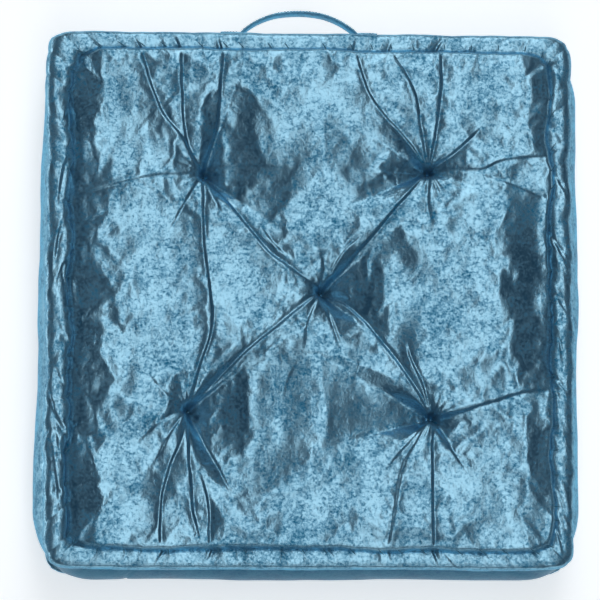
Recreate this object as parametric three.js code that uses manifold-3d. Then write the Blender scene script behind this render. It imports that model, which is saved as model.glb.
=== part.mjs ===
// A square tufted floor cushion with rolled edges and a carrying handle.
//
// It lies flat. +Z is up, the sitting face is on top, and the handle is on the back wall (+Y).
// The cover is a top and a bottom panel and four wall panels. Each panel wraps a stuffed roll at its
// rim, held by a line of stitching in the groove beside it. Five twines run through the filling from
// one face to the other and pull both faces in. The handle is one band: its two sewn ends are fixed
// to the back wall, and the loop between them swings.
//
// Nearly every piece is one rounded square turned round the middle of the cushion, so a section is a
// list of [half, z] points, where half is the distance from the middle to the flat of the side. The
// walls have swollen unevenly, so the rim is a little narrower along X and longer along Y.

import * as THREE from "three";
import { mergeVertices } from "three/addons/utils/BufferGeometryUtils.js";
import Module from "manifold-3d";

const wasm = await Module();
wasm.setup();

// Driving dimensions, in millimetres.
const WALL_HALF = 300; // middle to the fullest line of the wall
const ROLL_HALF = 275.5; // middle to the roll's own centre line
const ROLL_R = 13; // outside of the roll
const CORNER_R = 34; // plan radius of the corners, at the seam
const RIM_DRAW = 5; // how much nearer the seams lie along X, and further off along Y
const CLOTH = 2; // thickness of the cloth, pile included
const GAP = 0.6; // between neighbouring pieces
const CROWN_Z = 116; // highest line of the sitting face
const GROOVE_HALF = 262; // middle to the stitched groove inside the roll
const TOP_GROOVE_Z = 97;
const FLOOR_GROOVE_Z = 6;
const TOP_ROLL_Z = 93;
const FLOOR_ROLL_Z = ROLL_R; // the lower roll rests on the floor
const TUFT_PITCH = 130; // middle to each corner tuft, along X and along Y
const TUFT_DEPTH = 45; // how far a tuft pulls the sitting face in
const TUFT_REACH = 28; // how fast that pull fades
const BASE_TUFT_DEPTH = 20; // the same on the face that lies on the floor
const BASE_TUFT_REACH = 32;
const FACE_STEPS = 6; // stations on the straight of each side, where a face bends between them

// The handle, as a plan outline of a band on edge.
const HANDLE_X = -10; // its middle, along the back wall
const BAND_T = 4;
const BAND_W = 24;
const BAND_SPAN = 128; // between the two rows of stitching
const BAND_TAB = 22; // each sewn end
const BAND_RISE = 18; // how far the loop stands off
const LOOP_HALF = 33; // half of the stretch that swings
const SEAM_HALF = ROLL_HALF + ROLL_R;
const MID_Z = (TOP_ROLL_Z + FLOOR_ROLL_Z) / 2;
const WALL_NOTCH = 283.5; // where the wall tucks in under the roll
const WALL_REACH = 29; // from the wall's fullest line up to that tuck
const HANDLE_REACH = GAP + BAND_T + BAND_RISE; // beyond the wall's fullest line

const rad = THREE.MathUtils.degToRad;
const hypot = Math.hypot;

// Fits a point of the even square of that half to the real rim.
function fitted([x, y], half) {
  const swelling = Math.max(0, half - WALL_NOTCH) / (WALL_HALF - WALL_NOTCH);
  const draw = ((RIM_DRAW * Math.min(half, WALL_NOTCH)) / SEAM_HALF) * (1 - swelling);
  return [x * (1 - draw / half), y * (1 + draw / half)];
}

// Where each twine really pulls, beside its mark on the even pattern.
const TUFTS = [
  { name: "centre", corner: [0, 0], off: [11, 7] },
  { name: "back_left", corner: [-1, 1], off: [12, 2] },
  { name: "back_right", corner: [1, 1], off: [1, 7] },
  { name: "front_left", corner: [-1, -1], off: [-4, 11] },
  { name: "front_right", corner: [1, -1], off: [3, 3] },
].map(({ name, corner, off }) => {
  const even = corner.map((c) => c * TUFT_PITCH);
  const mark = fitted(even, TUFT_PITCH);
  return { name, mark, off, at: mark.map((m, axis) => m + off[axis]) };
});

// ---- the plan: a rounded square, walked side by side from corner to corner ----

// Point t of side 0 (the front), with t from 0 to 1 from the left corner's middle to the right one's.
function sidePoint(t) {
  const arc = (CORNER_R * Math.PI) / 4;
  const straight = 2 * (SEAM_HALF - CORNER_R);
  const along = t * (straight + 2 * arc);
  const inset = SEAM_HALF - CORNER_R;
  if (along < arc) {
    const a = rad(225) + along / CORNER_R;
    return [-inset + CORNER_R * Math.cos(a), -inset + CORNER_R * Math.sin(a)];
  }
  if (along > arc + straight) {
    const a = rad(270) + (along - arc - straight) / CORNER_R;
    return [inset + CORNER_R * Math.cos(a), -inset + CORNER_R * Math.sin(a)];
  }
  return [-inset + along - arc, -SEAM_HALF];
}

// The stations along a side: close together round the corners, even along the straight.
function sideStations(straightSteps) {
  const arc = (CORNER_R * Math.PI) / 4;
  const arcShare = arc / (2 * (SEAM_HALF - CORNER_R) + 2 * arc);
  const stations = [0, arcShare / 2];
  for (let i = 0; i <= straightSteps; i++) {
    stations.push(arcShare + (i / straightSteps) * (1 - 2 * arcShare));
  }
  stations.push(1 - arcShare / 2, 1);
  return stations;
}

// A point of side 0, carried round to another side.
function turnedBy(side, [x, y]) {
  const turns = [
    [x, y],
    [-y, x],
    [-x, -y],
    [y, -x],
  ];
  return turns[side];
}

const planPoint = (side, t) => turnedBy(side, sidePoint(t));

// The whole plan as one loop, at that distance from the middle. Near the rim it is the rounded
// square. Further in it becomes a sharp square with even stations, which suits the tufts.
function planLoop(half, straightSteps) {
  const rounded = THREE.MathUtils.smoothstep(half, 150, 250);
  const stations = sideStations(straightSteps);
  const loop = [];
  for (let side = 0; side < 4; side++) {
    for (let i = 0; i < stations.length - 1; i++) {
      const share = i / (stations.length - 1);
      const round = planPoint(side, stations[i]).map((v) => (v / SEAM_HALF) * half);
      const square = turnedBy(side, [half * (2 * share - 1), -half]);
      const even = round.map((v, axis) => rounded * v + (1 - rounded) * square[axis]);
      loop.push(fitted(even, half));
    }
  }
  return loop;
}

// ---- the two faces: how far the twines pull each one ----

function pullTop(x, y) {
  let pull = 0;
  for (const { at } of TUFTS) {
    pull = Math.max(pull, TUFT_DEPTH * Math.exp(-hypot(x - at[0], y - at[1]) / TUFT_REACH));
  }
  return pull;
}

function pullBase(x, y) {
  let pull = 0;
  for (const { at } of TUFTS) {
    const share = Math.max(0, 1 - hypot(x - at[0], y - at[1]) / BASE_TUFT_REACH);
    pull = Math.max(pull, BASE_TUFT_DEPTH * share * share);
  }
  return pull;
}

// Slides the even pattern sideways, so that a vertex lies right on each tuft.
function shifted(x, y) {
  let [sx, sy] = [x, y];
  for (const { mark, off } of TUFTS) {
    const share = Math.exp(-(((x - mark[0]) ** 2 + (y - mark[1]) ** 2) / 60 ** 2));
    sx += off[0] * share;
    sy += off[1] * share;
  }
  return [sx, sy];
}

const crownZ = (half) =>
  TOP_GROOVE_Z + (CROWN_Z - TOP_GROOVE_Z) * Math.sqrt(Math.max(0, 1 - (half / GROOVE_HALF) ** 3));

// ---- sections ----

// Points on a circle round a roll's centre, from one angle to another.
function rollArc(z, radius, from, to, steps) {
  return Array.from({ length: steps + 1 }, (_, i) => {
    const a = rad(from + ((to - from) * i) / steps);
    return [ROLL_HALF + radius * Math.cos(a), z + radius * Math.sin(a)];
  });
}

// The wall's bulge between its two tucks, drawn in by inset.
function wallBulge(from, to, steps, inset) {
  return Array.from({ length: steps + 1 }, (_, i) => {
    const z = from + ((to - from) * i) / steps;
    const swell = (WALL_HALF - WALL_NOTCH) * Math.cos(((z - MID_Z) / WALL_REACH) * (Math.PI / 2));
    return [WALL_NOTCH - inset + swell, z];
  });
}

// The rings of a face: one runs through the tufts, the rest lie between the middle and the groove.
const FACE_RINGS = [24, 55, 86, 110, TUFT_PITCH, 152, 182, 214, 240, 254];

// ---- solids ----

function meshOf(points, triangles) {
  const geometry = new THREE.BufferGeometry();
  geometry.setAttribute("position", new THREE.Float32BufferAttribute(points.flat(), 3));
  geometry.setIndex(triangles.flat());
  geometry.computeVertexNormals();
  return geometry;
}

// A section turned round the whole plan. An open section starts and ends on the middle line.
// shape(x, y, z, index) places each point.
function turned(section, closed, straightSteps, shape = (x, y, z) => [x, y, z]) {
  const points = [];
  const triangles = [];
  const rows = section.map(([half, z], index) => {
    const loop = planLoop(half, straightSteps);
    if (half === 0) {
      points.push(shape(0, 0, z, index));
      return loop.map(() => points.length - 1);
    }
    return loop.map(([x, y]) => {
      points.push(shape(x, y, z, index));
      return points.length - 1;
    });
  });
  const last = closed ? rows.length : rows.length - 1;
  for (let r = 0; r < last; r++) {
    const next = (r + 1) % rows.length;
    const [a, b] = [rows[r], rows[next]];
    const spreading = section[r][0] < section[next][0];
    for (let i = 0; i < a.length; i++) {
      const j = (i + 1) % a.length;
      // Each cell is split on the same diagonal in every piece, so that nested faces never cross.
      // It mirrors halfway along a side, so that a corner's cells are alike.
      const leading = i % (a.length / 4) < a.length / 8;
      if (leading === spreading) triangles.push([a[i], b[j], b[i]], [a[i], a[j], b[j]]);
      else triangles.push([a[i], a[j], b[i]], [a[j], b[j], b[i]]);
    }
  }
  const whole = triangles.filter(([a, b, c]) => a !== b && b !== c && c !== a);
  return meshOf(points, whole);
}

// A closed section swept along one side, from corner to corner, with flat ends.
function alongSide(side, section, endGap) {
  const stations = sideStations(1);
  const points = [];
  const triangles = [];
  const count = section.length;
  stations.forEach((t, s) => {
    const shortened = s === 0 ? t + endGap : s === stations.length - 1 ? t - endGap : t;
    const place = planPoint(side, shortened);
    for (const [half, z] of section) {
      const even = place.map((v) => (v / SEAM_HALF) * half);
      points.push([...fitted(even, half), z]);
    }
  });
  for (let s = 0; s < stations.length - 1; s++) {
    for (let i = 0; i < count; i++) {
      const j = (i + 1) % count;
      const [a, b, c, d] = [s * count + i, s * count + j, (s + 1) * count + j, (s + 1) * count + i];
      triangles.push([a, c, b], [a, d, c]);
    }
  }
  const outline = section.map(([half, z]) => new THREE.Vector2(half, z));
  const backwards = THREE.ShapeUtils.isClockWise(outline);
  const base = (stations.length - 1) * count;
  for (const cap of THREE.ShapeUtils.triangulateShape(outline, [])) {
    const [a, b, c] = backwards ? cap.reverse() : cap;
    triangles.push([a, b, c], [base + a, base + c, base + b]);
  }
  return meshOf(points, triangles);
}

// Faces outwards, whichever way round its section was drawn.
function outward(geometry) {
  const position = geometry.getAttribute("position");
  const index = geometry.getIndex();
  const [a, b, c] = [new THREE.Vector3(), new THREE.Vector3(), new THREE.Vector3()];
  let volume = 0;
  for (let i = 0; i < index.count; i += 3) {
    a.fromBufferAttribute(position, index.getX(i));
    b.fromBufferAttribute(position, index.getX(i + 1));
    c.fromBufferAttribute(position, index.getX(i + 2));
    volume += a.dot(b.cross(c));
  }
  if (volume < 0) {
    const flipped = Array.from(index.array);
    for (let i = 0; i < flipped.length; i += 3) {
      [flipped[i + 1], flipped[i + 2]] = [flipped[i + 2], flipped[i + 1]];
    }
    geometry.setIndex(flipped);
    geometry.computeVertexNormals();
  }
  return geometry;
}

function solidOf(geometry) {
  const bare = geometry.clone();
  bare.deleteAttribute("normal");
  bare.deleteAttribute("uv");
  const merged = mergeVertices(bare, 1e-3);
  return new wasm.Manifold(
    new wasm.Mesh({
      numProp: 3,
      vertProperties: merged.getAttribute("position").array,
      triVerts: new Uint32Array(merged.getIndex().array),
    }),
  );
}

function geometryOf(solid) {
  const { vertProperties, triVerts } = solid.getMesh();
  const geometry = new THREE.BufferGeometry();
  geometry.setAttribute("position", new THREE.BufferAttribute(vertProperties, 3));
  geometry.setIndex(new THREE.BufferAttribute(triVerts, 1));
  geometry.computeVertexNormals();
  return geometry;
}

// Drills a hole of that radius through a solid at every tuft.
function drilled(geometry, radius) {
  let solid = solidOf(geometry);
  for (const { at } of TUFTS) {
    const drill = new THREE.CylinderGeometry(radius, radius, 3 * CROWN_Z, 8);
    drill.rotateX(Math.PI / 2).translate(at[0], at[1], CROWN_Z / 2);
    solid = solid.subtract(solidOf(drill));
  }
  return geometryOf(solid);
}

// ---- the cover ----

// One shell: the face from its middle to the groove, then round the roll to the seam, and back inside.
function topPanel() {
  const face = [[0, CROWN_Z], ...FACE_RINGS.map((h) => [h, crownZ(h)]), [GROOVE_HALF, TOP_GROOVE_Z]];
  const section = [
    ...face,
    ...rollArc(TOP_ROLL_Z, ROLL_R, 154, 2, 6),
    ...rollArc(TOP_ROLL_Z, ROLL_R - CLOTH, 2, 154, 6),
    ...face.map(([half, z]) => [half, z - CLOTH]).reverse(),
  ];
  const shell = turned(section, false, FACE_STEPS, (x, y, z) => {
    const [sx, sy] = shifted(x, y);
    return [sx, sy, z - pullTop(sx, sy)];
  });
  return drilled(outward(shell), 1.7);
}

// The face on the floor is flat, then turns up into its groove.
const BASE_FACE = [
  ...FACE_RINGS.slice(0, -1).map((h) => [h, 0]),
  [248, 0],
  [256.5, 1.5],
  [GROOVE_HALF, FLOOR_GROOVE_Z],
];

function bottomPanel() {
  const face = [[0, 0], ...BASE_FACE];
  const section = [
    ...face,
    ...rollArc(FLOOR_ROLL_Z, ROLL_R, 212, 358, 6),
    ...rollArc(FLOOR_ROLL_Z, ROLL_R - CLOTH, 358, 212, 6),
    ...face.map(([half, z]) => [half, z + CLOTH]).reverse(),
  ];
  const shell = turned(section, false, FACE_STEPS, (x, y, z) => {
    const [sx, sy] = shifted(x, y);
    return [sx, sy, z + pullBase(sx, sy)];
  });
  return drilled(outward(shell), 1.7);
}

// One wall panel: from the upper seam under the roll, over the bulge and round the lower roll.
function wallPanel(side) {
  const skin = (inset) => [
    ...rollArc(TOP_ROLL_Z, ROLL_R - inset, -2, -50, 2),
    ...wallBulge(MID_Z + WALL_REACH - 2, MID_Z - WALL_REACH + 2, 6, inset),
    ...rollArc(FLOOR_ROLL_Z, ROLL_R - inset, 50, 2, 2),
  ];
  return outward(alongSide(side, [...skin(0), ...skin(CLOTH).reverse()], 0.0005));
}

// ---- what the cover holds ----

const ROLL_STUFFING_R = ROLL_R - CLOTH - GAP;

function rollStuffing(z) {
  return outward(turned(rollArc(z, ROLL_STUFFING_R, 0, 315, 7), true, 1));
}

function fibreFilling() {
  const clear = CLOTH + GAP;
  const faceHalf = FACE_RINGS.slice(0, -1);
  const top = [[0, CROWN_Z - clear], ...faceHalf.map((h) => [h, crownZ(h) - clear])];
  const base = [[0, clear], ...faceHalf.map((half) => [half, clear])];
  const section = [
    ...top,
    [256, TOP_ROLL_Z - 3],
    [266, TOP_ROLL_Z - ROLL_R],
    ...wallBulge(MID_Z + WALL_REACH - 6, MID_Z - WALL_REACH + 6, 4, clear),
    [266, FLOOR_ROLL_Z + ROLL_R],
    [256, FLOOR_ROLL_Z + 3],
    ...base.reverse(),
  ];
  const topCount = top.length;
  const baseStart = section.length - base.length;
  const block = turned(section, false, FACE_STEPS, (x, y, z, index) => {
    const [sx, sy] = shifted(x, y);
    if (index < topCount) return [sx, sy, z - pullTop(sx, sy)];
    if (index >= baseStart) return [sx, sy, z + pullBase(sx, sy)];
    return [x, y, z];
  });
  return drilled(outward(block), 2);
}

// ---- twine and thread ----

// A twine with a knot on each face. The knot rests in the cone that it pulls.
function tuftTwine() {
  const knot = 2.2;
  const shank = 1;
  const top = CROWN_Z - TUFT_DEPTH + 5;
  const base = BASE_TUFT_DEPTH - 5;
  const arc = (z, from, to) =>
    Array.from({ length: 4 }, (_, i) => {
      const a = rad(from + ((to - from) * i) / 3);
      return new THREE.Vector2(knot * Math.cos(a), z + knot * Math.sin(a));
    });
  const profile = [
    new THREE.Vector2(0, base - knot),
    ...arc(base, -60, 60),
    new THREE.Vector2(shank, base + knot + 1),
    new THREE.Vector2(shank, top - knot - 1),
    ...arc(top, -60, 60),
    new THREE.Vector2(0, top + knot),
  ];
  return new THREE.LatheGeometry(profile, 7).rotateX(Math.PI / 2);
}

function grooveThread(half, z) {
  const r = 0.7;
  const section = [
    [half + r, z],
    [half, z + r],
    [half - r, z],
    [half, z - r],
  ];
  return outward(turned(section, true, 1));
}

// ---- the handle, in its own frame: X along the wall, Y away from it, Z up ----

// The band's centre line: flat on the wall at each end, and a bell between.
function bandRise(x) {
  const share = Math.min(1, Math.abs(x) / (BAND_SPAN / 2));
  return GAP + BAND_T / 2 + BAND_RISE * Math.cos((share * Math.PI) / 2) ** 2;
}

function bandStretch(from, to, steps) {
  const side = (offset) =>
    Array.from({ length: steps + 1 }, (_, i) => {
      const x = from + ((to - from) * i) / steps;
      const slope = (bandRise(x + 0.01) - bandRise(x - 0.01)) / 0.02;
      const lean = hypot(1, slope);
      const end = i === 0 || i === steps;
      const along = end ? x : x - (offset * slope) / lean;
      return new THREE.Vector2(along, bandRise(x) + offset * (end ? lean : 1 / lean));
    });
  const outline = new THREE.Shape([...side(-BAND_T / 2), ...side(BAND_T / 2).reverse()]);
  const band = new THREE.ExtrudeGeometry(outline, { depth: BAND_W, bevelEnabled: false });
  return band.translate(0, 0, -BAND_W / 2);
}

// A row of thread round each sewn end, crossed corner to corner.
function boxStitch() {
  const [half, line] = [8, 1];
  const frame = new THREE.Shape([
    new THREE.Vector2(-half, -half),
    new THREE.Vector2(half, -half),
    new THREE.Vector2(half, half),
    new THREE.Vector2(-half, half),
  ]);
  const [near, far] = [line * Math.SQRT1_2 + 0.01, half - line];
  for (let quarter = 0; quarter < 4; quarter++) {
    const hole = [
      new THREE.Vector2(near, 0),
      new THREE.Vector2(far, -(far - near)),
      new THREE.Vector2(far, far - near),
    ].map((corner) => corner.rotateAround(new THREE.Vector2(), (quarter * Math.PI) / 2));
    frame.holes.push(new THREE.Path(hole));
  }
  return new THREE.ExtrudeGeometry(frame, { depth: 0.8, bevelEnabled: false }).rotateX(-Math.PI / 2);
}

// ---- the assembly ----

const velvet = new THREE.MeshStandardMaterial({ color: 0x5a93ac, roughness: 0.45, metalness: 0 });
const band = new THREE.MeshStandardMaterial({ color: 0x5d8ea6, roughness: 0.5, metalness: 0 });
const thread = new THREE.MeshStandardMaterial({ color: 0x2c6480, roughness: 0.7, metalness: 0 });
const twine = new THREE.MeshStandardMaterial({ color: 0x24556e, roughness: 0.8, metalness: 0 });
const fibre = new THREE.MeshStandardMaterial({ color: 0xe8e6e0, roughness: 0.95, metalness: 0 });

function named(name, geometry, material) {
  const mesh = new THREE.Mesh(geometry, material);
  mesh.name = name;
  return mesh;
}

const cushion = new THREE.Group();
cushion.position.y = -HANDLE_REACH / 2; // the handle's reach counts in the footprint

cushion.add(named("top_panel", topPanel(), velvet));
cushion.add(named("bottom_panel", bottomPanel(), velvet));
["front", "right", "back", "left"].forEach((where, side) => {
  cushion.add(named(`wall_panel_${where}`, wallPanel(side), velvet));
});
cushion.add(named("top_roll_stuffing", rollStuffing(TOP_ROLL_Z), fibre));
cushion.add(named("bottom_roll_stuffing", rollStuffing(FLOOR_ROLL_Z), fibre));
cushion.add(named("fibre_filling", fibreFilling(), fibre));
cushion.add(named("top_roll_stitching", grooveThread(262.4, 98.9), thread));
cushion.add(named("bottom_roll_stitching", grooveThread(262.2, 3.6), thread));
for (const { name, at } of TUFTS) {
  const strand = named(`tuft_twine_${name}`, tuftTwine(), twine);
  strand.position.set(at[0], at[1], 0);
  cushion.add(strand);
}

const handle = new THREE.Group();
handle.position.set(HANDLE_X, WALL_HALF, MID_Z);
const spanEnd = BAND_SPAN / 2 + BAND_TAB;
handle.add(named("handle_loop", bandStretch(-LOOP_HALF, LOOP_HALF, 10), band));
handle.add(named("handle_end_left", bandStretch(-spanEnd, -LOOP_HALF - GAP, 10), band));
handle.add(named("handle_end_right", bandStretch(LOOP_HALF + GAP, spanEnd, 10), band));
for (const [where, sign] of [["left", -1], ["right", 1]]) {
  const stitch = named(`handle_stitching_${where}`, boxStitch(), thread);
  stitch.position.set(sign * (spanEnd - BAND_TAB / 2), GAP + BAND_T + 0.4, 0);
  handle.add(stitch);
}
cushion.add(handle);

const part = new THREE.Group();
part.add(cushion);

export default part;
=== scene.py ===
"""A square floor cushion in crushed velvet: tufted, with stitched rolled edges and a fabric handle.

Plan positions are in metres from the middle of the cushion, in the frame's own X and Y. A place on
the rim is s, which runs from 0 to 8 round the unit square, starting at the front left corner.
"""

import math

import bpy
import numpy as np
from mathutils import Matrix, Vector


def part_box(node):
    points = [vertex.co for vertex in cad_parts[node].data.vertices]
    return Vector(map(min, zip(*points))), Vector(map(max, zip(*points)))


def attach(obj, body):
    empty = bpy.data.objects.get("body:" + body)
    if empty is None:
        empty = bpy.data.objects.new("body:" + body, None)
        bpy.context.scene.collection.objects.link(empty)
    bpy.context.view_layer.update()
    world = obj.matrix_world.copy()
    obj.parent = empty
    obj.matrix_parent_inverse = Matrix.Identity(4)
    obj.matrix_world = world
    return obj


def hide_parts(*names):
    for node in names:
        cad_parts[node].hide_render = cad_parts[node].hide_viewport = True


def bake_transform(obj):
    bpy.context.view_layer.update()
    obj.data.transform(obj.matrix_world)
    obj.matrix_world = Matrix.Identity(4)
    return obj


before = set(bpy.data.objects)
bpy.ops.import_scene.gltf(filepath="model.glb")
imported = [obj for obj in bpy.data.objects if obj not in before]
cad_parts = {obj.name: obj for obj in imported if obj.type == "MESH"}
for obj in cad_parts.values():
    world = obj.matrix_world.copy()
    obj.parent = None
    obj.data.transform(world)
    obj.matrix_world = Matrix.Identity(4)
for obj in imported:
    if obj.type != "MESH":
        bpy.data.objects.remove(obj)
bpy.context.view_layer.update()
MM = 0.001


# ---- places and sizes, from the frame ----


def middle(node):
    """The middle of a node's box."""
    low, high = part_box(node)
    return (low + high) / 2


def half_of(node):
    """Half the mean of a node's width and depth."""
    low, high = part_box(node)
    return (high.x - low.x + high.y - low.y) / 4


CENTRE = np.array(middle("top_panel")[:2])
SEAM_HALF = half_of("top_panel")
TOP_SEAM_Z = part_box("wall_panel_front")[1].z
FLOOR_SEAM_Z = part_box("wall_panel_front")[0].z
WALL_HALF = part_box("wall_panel_right")[1].x
WALL_NOTCH = 283.5 * MM  # where the wall tucks in under the roll
RIM_DRAW = 5 * MM  # how much nearer the seams lie along X, and further off along Y
GROOVE_HALF = half_of("top_roll_stitching") - 0.7 * MM
ROLL_R = 13 * MM
ROLL_HALF = SEAM_HALF - ROLL_R
CREST_Z = 118 * MM
GROOVE_Z = 99 * MM
FLOOR_GROOVE_Z = 7 * MM
TUFT_NAMES = ["centre", "back_left", "back_right", "front_left", "front_right"]
TUFTS = {name: np.array(middle(f"tuft_twine_{name}")[:2]) - CENTRE for name in TUFT_NAMES}
CORNER_POWER = 28  # the plan is a superellipse of this power, which is a square with round corners


# ---- small tools ----


def smoothstep(value, low, high):
    """0 up to low, 1 from high on, and a smooth rise between them."""
    share = np.clip((value - low) / (high - low), 0, 1)
    return share * share * (3 - 2 * share)


def noise(x, y, size, seed):
    """Smooth noise from -1 to 1 whose lumps are about that size."""
    table = np.random.default_rng(seed).uniform(-1, 1, (64, 64))
    gx, gy = x / size, y / size
    ix, iy = np.floor(gx).astype(int), np.floor(gy).astype(int)
    tx, ty = smoothstep(gx - ix, 0, 1), smoothstep(gy - iy, 0, 1)
    low = table[ix % 64, iy % 64] * (1 - tx) + table[(ix + 1) % 64, iy % 64] * tx
    high = table[ix % 64, (iy + 1) % 64] * (1 - tx) + table[(ix + 1) % 64, (iy + 1) % 64] * tx
    return low * (1 - ty) + high * ty


def on_square(s):
    """The point of the unit square's rim at s."""
    s = np.asarray(s) % 8
    t = s % 2 - 1
    side = (s // 2).astype(int)
    u = np.choose(side, [t, 1 + 0 * t, -t, -1 + 0 * t])
    v = np.choose(side, [-1 + 0 * t, t, 1 + 0 * t, -t])
    return u, v


def around(u, v):
    """The s of the rim point in the same direction as (u, v)."""
    m = np.maximum(np.maximum(np.abs(u), np.abs(v)), 1e-9)
    a, b = u / m, v / m
    front_or_back = np.abs(b) >= np.abs(a)
    along_x = np.where(b < 0, a + 1, 5 - a)
    along_y = np.where(a > 0, b + 3, 7 - b)
    return np.where(front_or_back, along_x, along_y)


def rounding(u, v):
    """What (u, v) is multiplied by, to move from the square to the square with round corners."""
    m = np.maximum(np.maximum(np.abs(u), np.abs(v)), 1e-9)
    a, b = np.abs(u) / m, np.abs(v) / m
    return np.maximum(a**CORNER_POWER + b**CORNER_POWER, 1e-9) ** (-1 / CORNER_POWER)


def fitted(x, y, half):
    """Moves a point of the even square of that half to the real rim, which is narrower along X."""
    swelling = np.maximum(0, half - WALL_NOTCH) / (WALL_HALF - WALL_NOTCH)
    draw = RIM_DRAW * np.minimum(half, WALL_NOTCH) / SEAM_HALF * (1 - swelling)
    share = draw / np.maximum(half, MM)
    return x * (1 - share), y * (1 + share)


def rim_point(s, half):
    """The plan position of the rim's point at s, on the rim of that half side."""
    u, v = on_square(s)
    scale = rounding(u, v) * half
    return fitted(u * scale, v * scale, half)


def mesh_object(name, points, quads, material):
    """A smooth-shaded object from rows of coordinates and rows of corner numbers."""
    mesh = bpy.data.meshes.new(name)
    mesh.from_pydata([tuple(p) for p in points], [], [tuple(int(i) for i in q) for q in quads])
    mesh.polygons.foreach_set("use_smooth", [True] * len(mesh.polygons))
    mesh.materials.append(material)
    obj = bpy.data.objects.new(name, mesh)
    bpy.context.collection.objects.link(obj)
    return obj


def grid_quads(rows, columns, wrap=False):
    """Quads of a grid whose points are stored row by row. wrap joins the last column to the first."""
    last = columns if wrap else columns - 1
    i, j = np.meshgrid(np.arange(rows - 1), np.arange(last), indexing="ij")
    k = (j + 1) % columns
    corners = [i * columns + j, i * columns + k, (i + 1) * columns + k, (i + 1) * columns + j]
    return np.stack([c.ravel() for c in corners], axis=1)


def grid_object(name, x, y, z, material, flip=False):
    """A surface through three arrays of coordinates, all of one shape. flip turns it inside out."""
    points = np.stack([x.ravel() + CENTRE[0], y.ravel() + CENTRE[1], z.ravel()], axis=1)
    quads = grid_quads(*x.shape)
    if flip:
        quads = quads[:, ::-1]
    return mesh_object(name, points, quads, material)


# ---- folds ----


def curve_through(points, steps=8):
    """A smooth line through the points, as an array of rows."""
    p = np.array(points, float)
    p = np.vstack([2 * p[0] - p[1], p, 2 * p[-1] - p[-2]])
    t = np.linspace(0, 1, steps, endpoint=False)[:, None]
    parts = []
    for a, b, c, d in zip(p, p[1:], p[2:], p[3:]):
        second = (2 * a - 5 * b + 4 * c - d) * t**2
        third = (3 * b - a - 3 * c + d) * t**3
        parts.append(0.5 * (2 * b + (c - a) * t + second + third))
    return np.vstack([*parts, p[-2]])


def along_line(x, y, line, reach):
    """Measures the points within reach of the line and leaves out the others.

    Returns which points they are, their signed distance from the line and their share of the way
    along it.
    """
    near = (x > line[:, 0].min() - reach) & (x < line[:, 0].max() + reach)
    near &= (y > line[:, 1].min() - reach) & (y < line[:, 1].max() + reach)
    chosen = np.nonzero(near.ravel())[0]
    px, py = x.ravel()[chosen], y.ravel()[chosen]
    best = np.full(len(chosen), 1e9)
    signed, share = np.zeros(len(chosen)), np.zeros(len(chosen))
    lengths = np.linalg.norm(np.diff(line, axis=0), axis=1)
    start = np.concatenate([[0], np.cumsum(lengths)])
    for (ax, ay), (bx, by), length, before in zip(line, line[1:], lengths, start):
        dx, dy = (bx - ax) / length, (by - ay) / length
        run = np.clip((px - ax) * dx + (py - ay) * dy, 0, length)
        ox, oy = px - ax - run * dx, py - ay - run * dy
        distance = np.hypot(ox, oy)
        closer = distance < best
        best = np.where(closer, distance, best)
        signed = np.where(closer, np.sign(dx * oy - dy * ox) * distance, signed)
        share = np.where(closer, (before + run) / start[-1], share)
    return chosen, signed, share


BROAD_SHARE = 0.3
SHARP_SHARE = 0.95


def fold(*line, broad=0.0, sharp=2.0, lip=1, fade=0.0, spread=8.0):
    """A pleat of the sitting face, in millimetres, from a tuft outwards.

    broad says how deep its soft valley is and spread how wide; sharp says how high the step in it
    is. BROAD_SHARE and SHARP_SHARE scale them for all pleats alike. The cloth laps over from the
    lip side, 1 for the left and -1 for the right. fade is the share of its length over which it
    dies away at the far end.
    """
    return {"line": line, "broad": broad, "sharp": sharp, "lip": lip, "fade": fade, "spread": spread}


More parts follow.
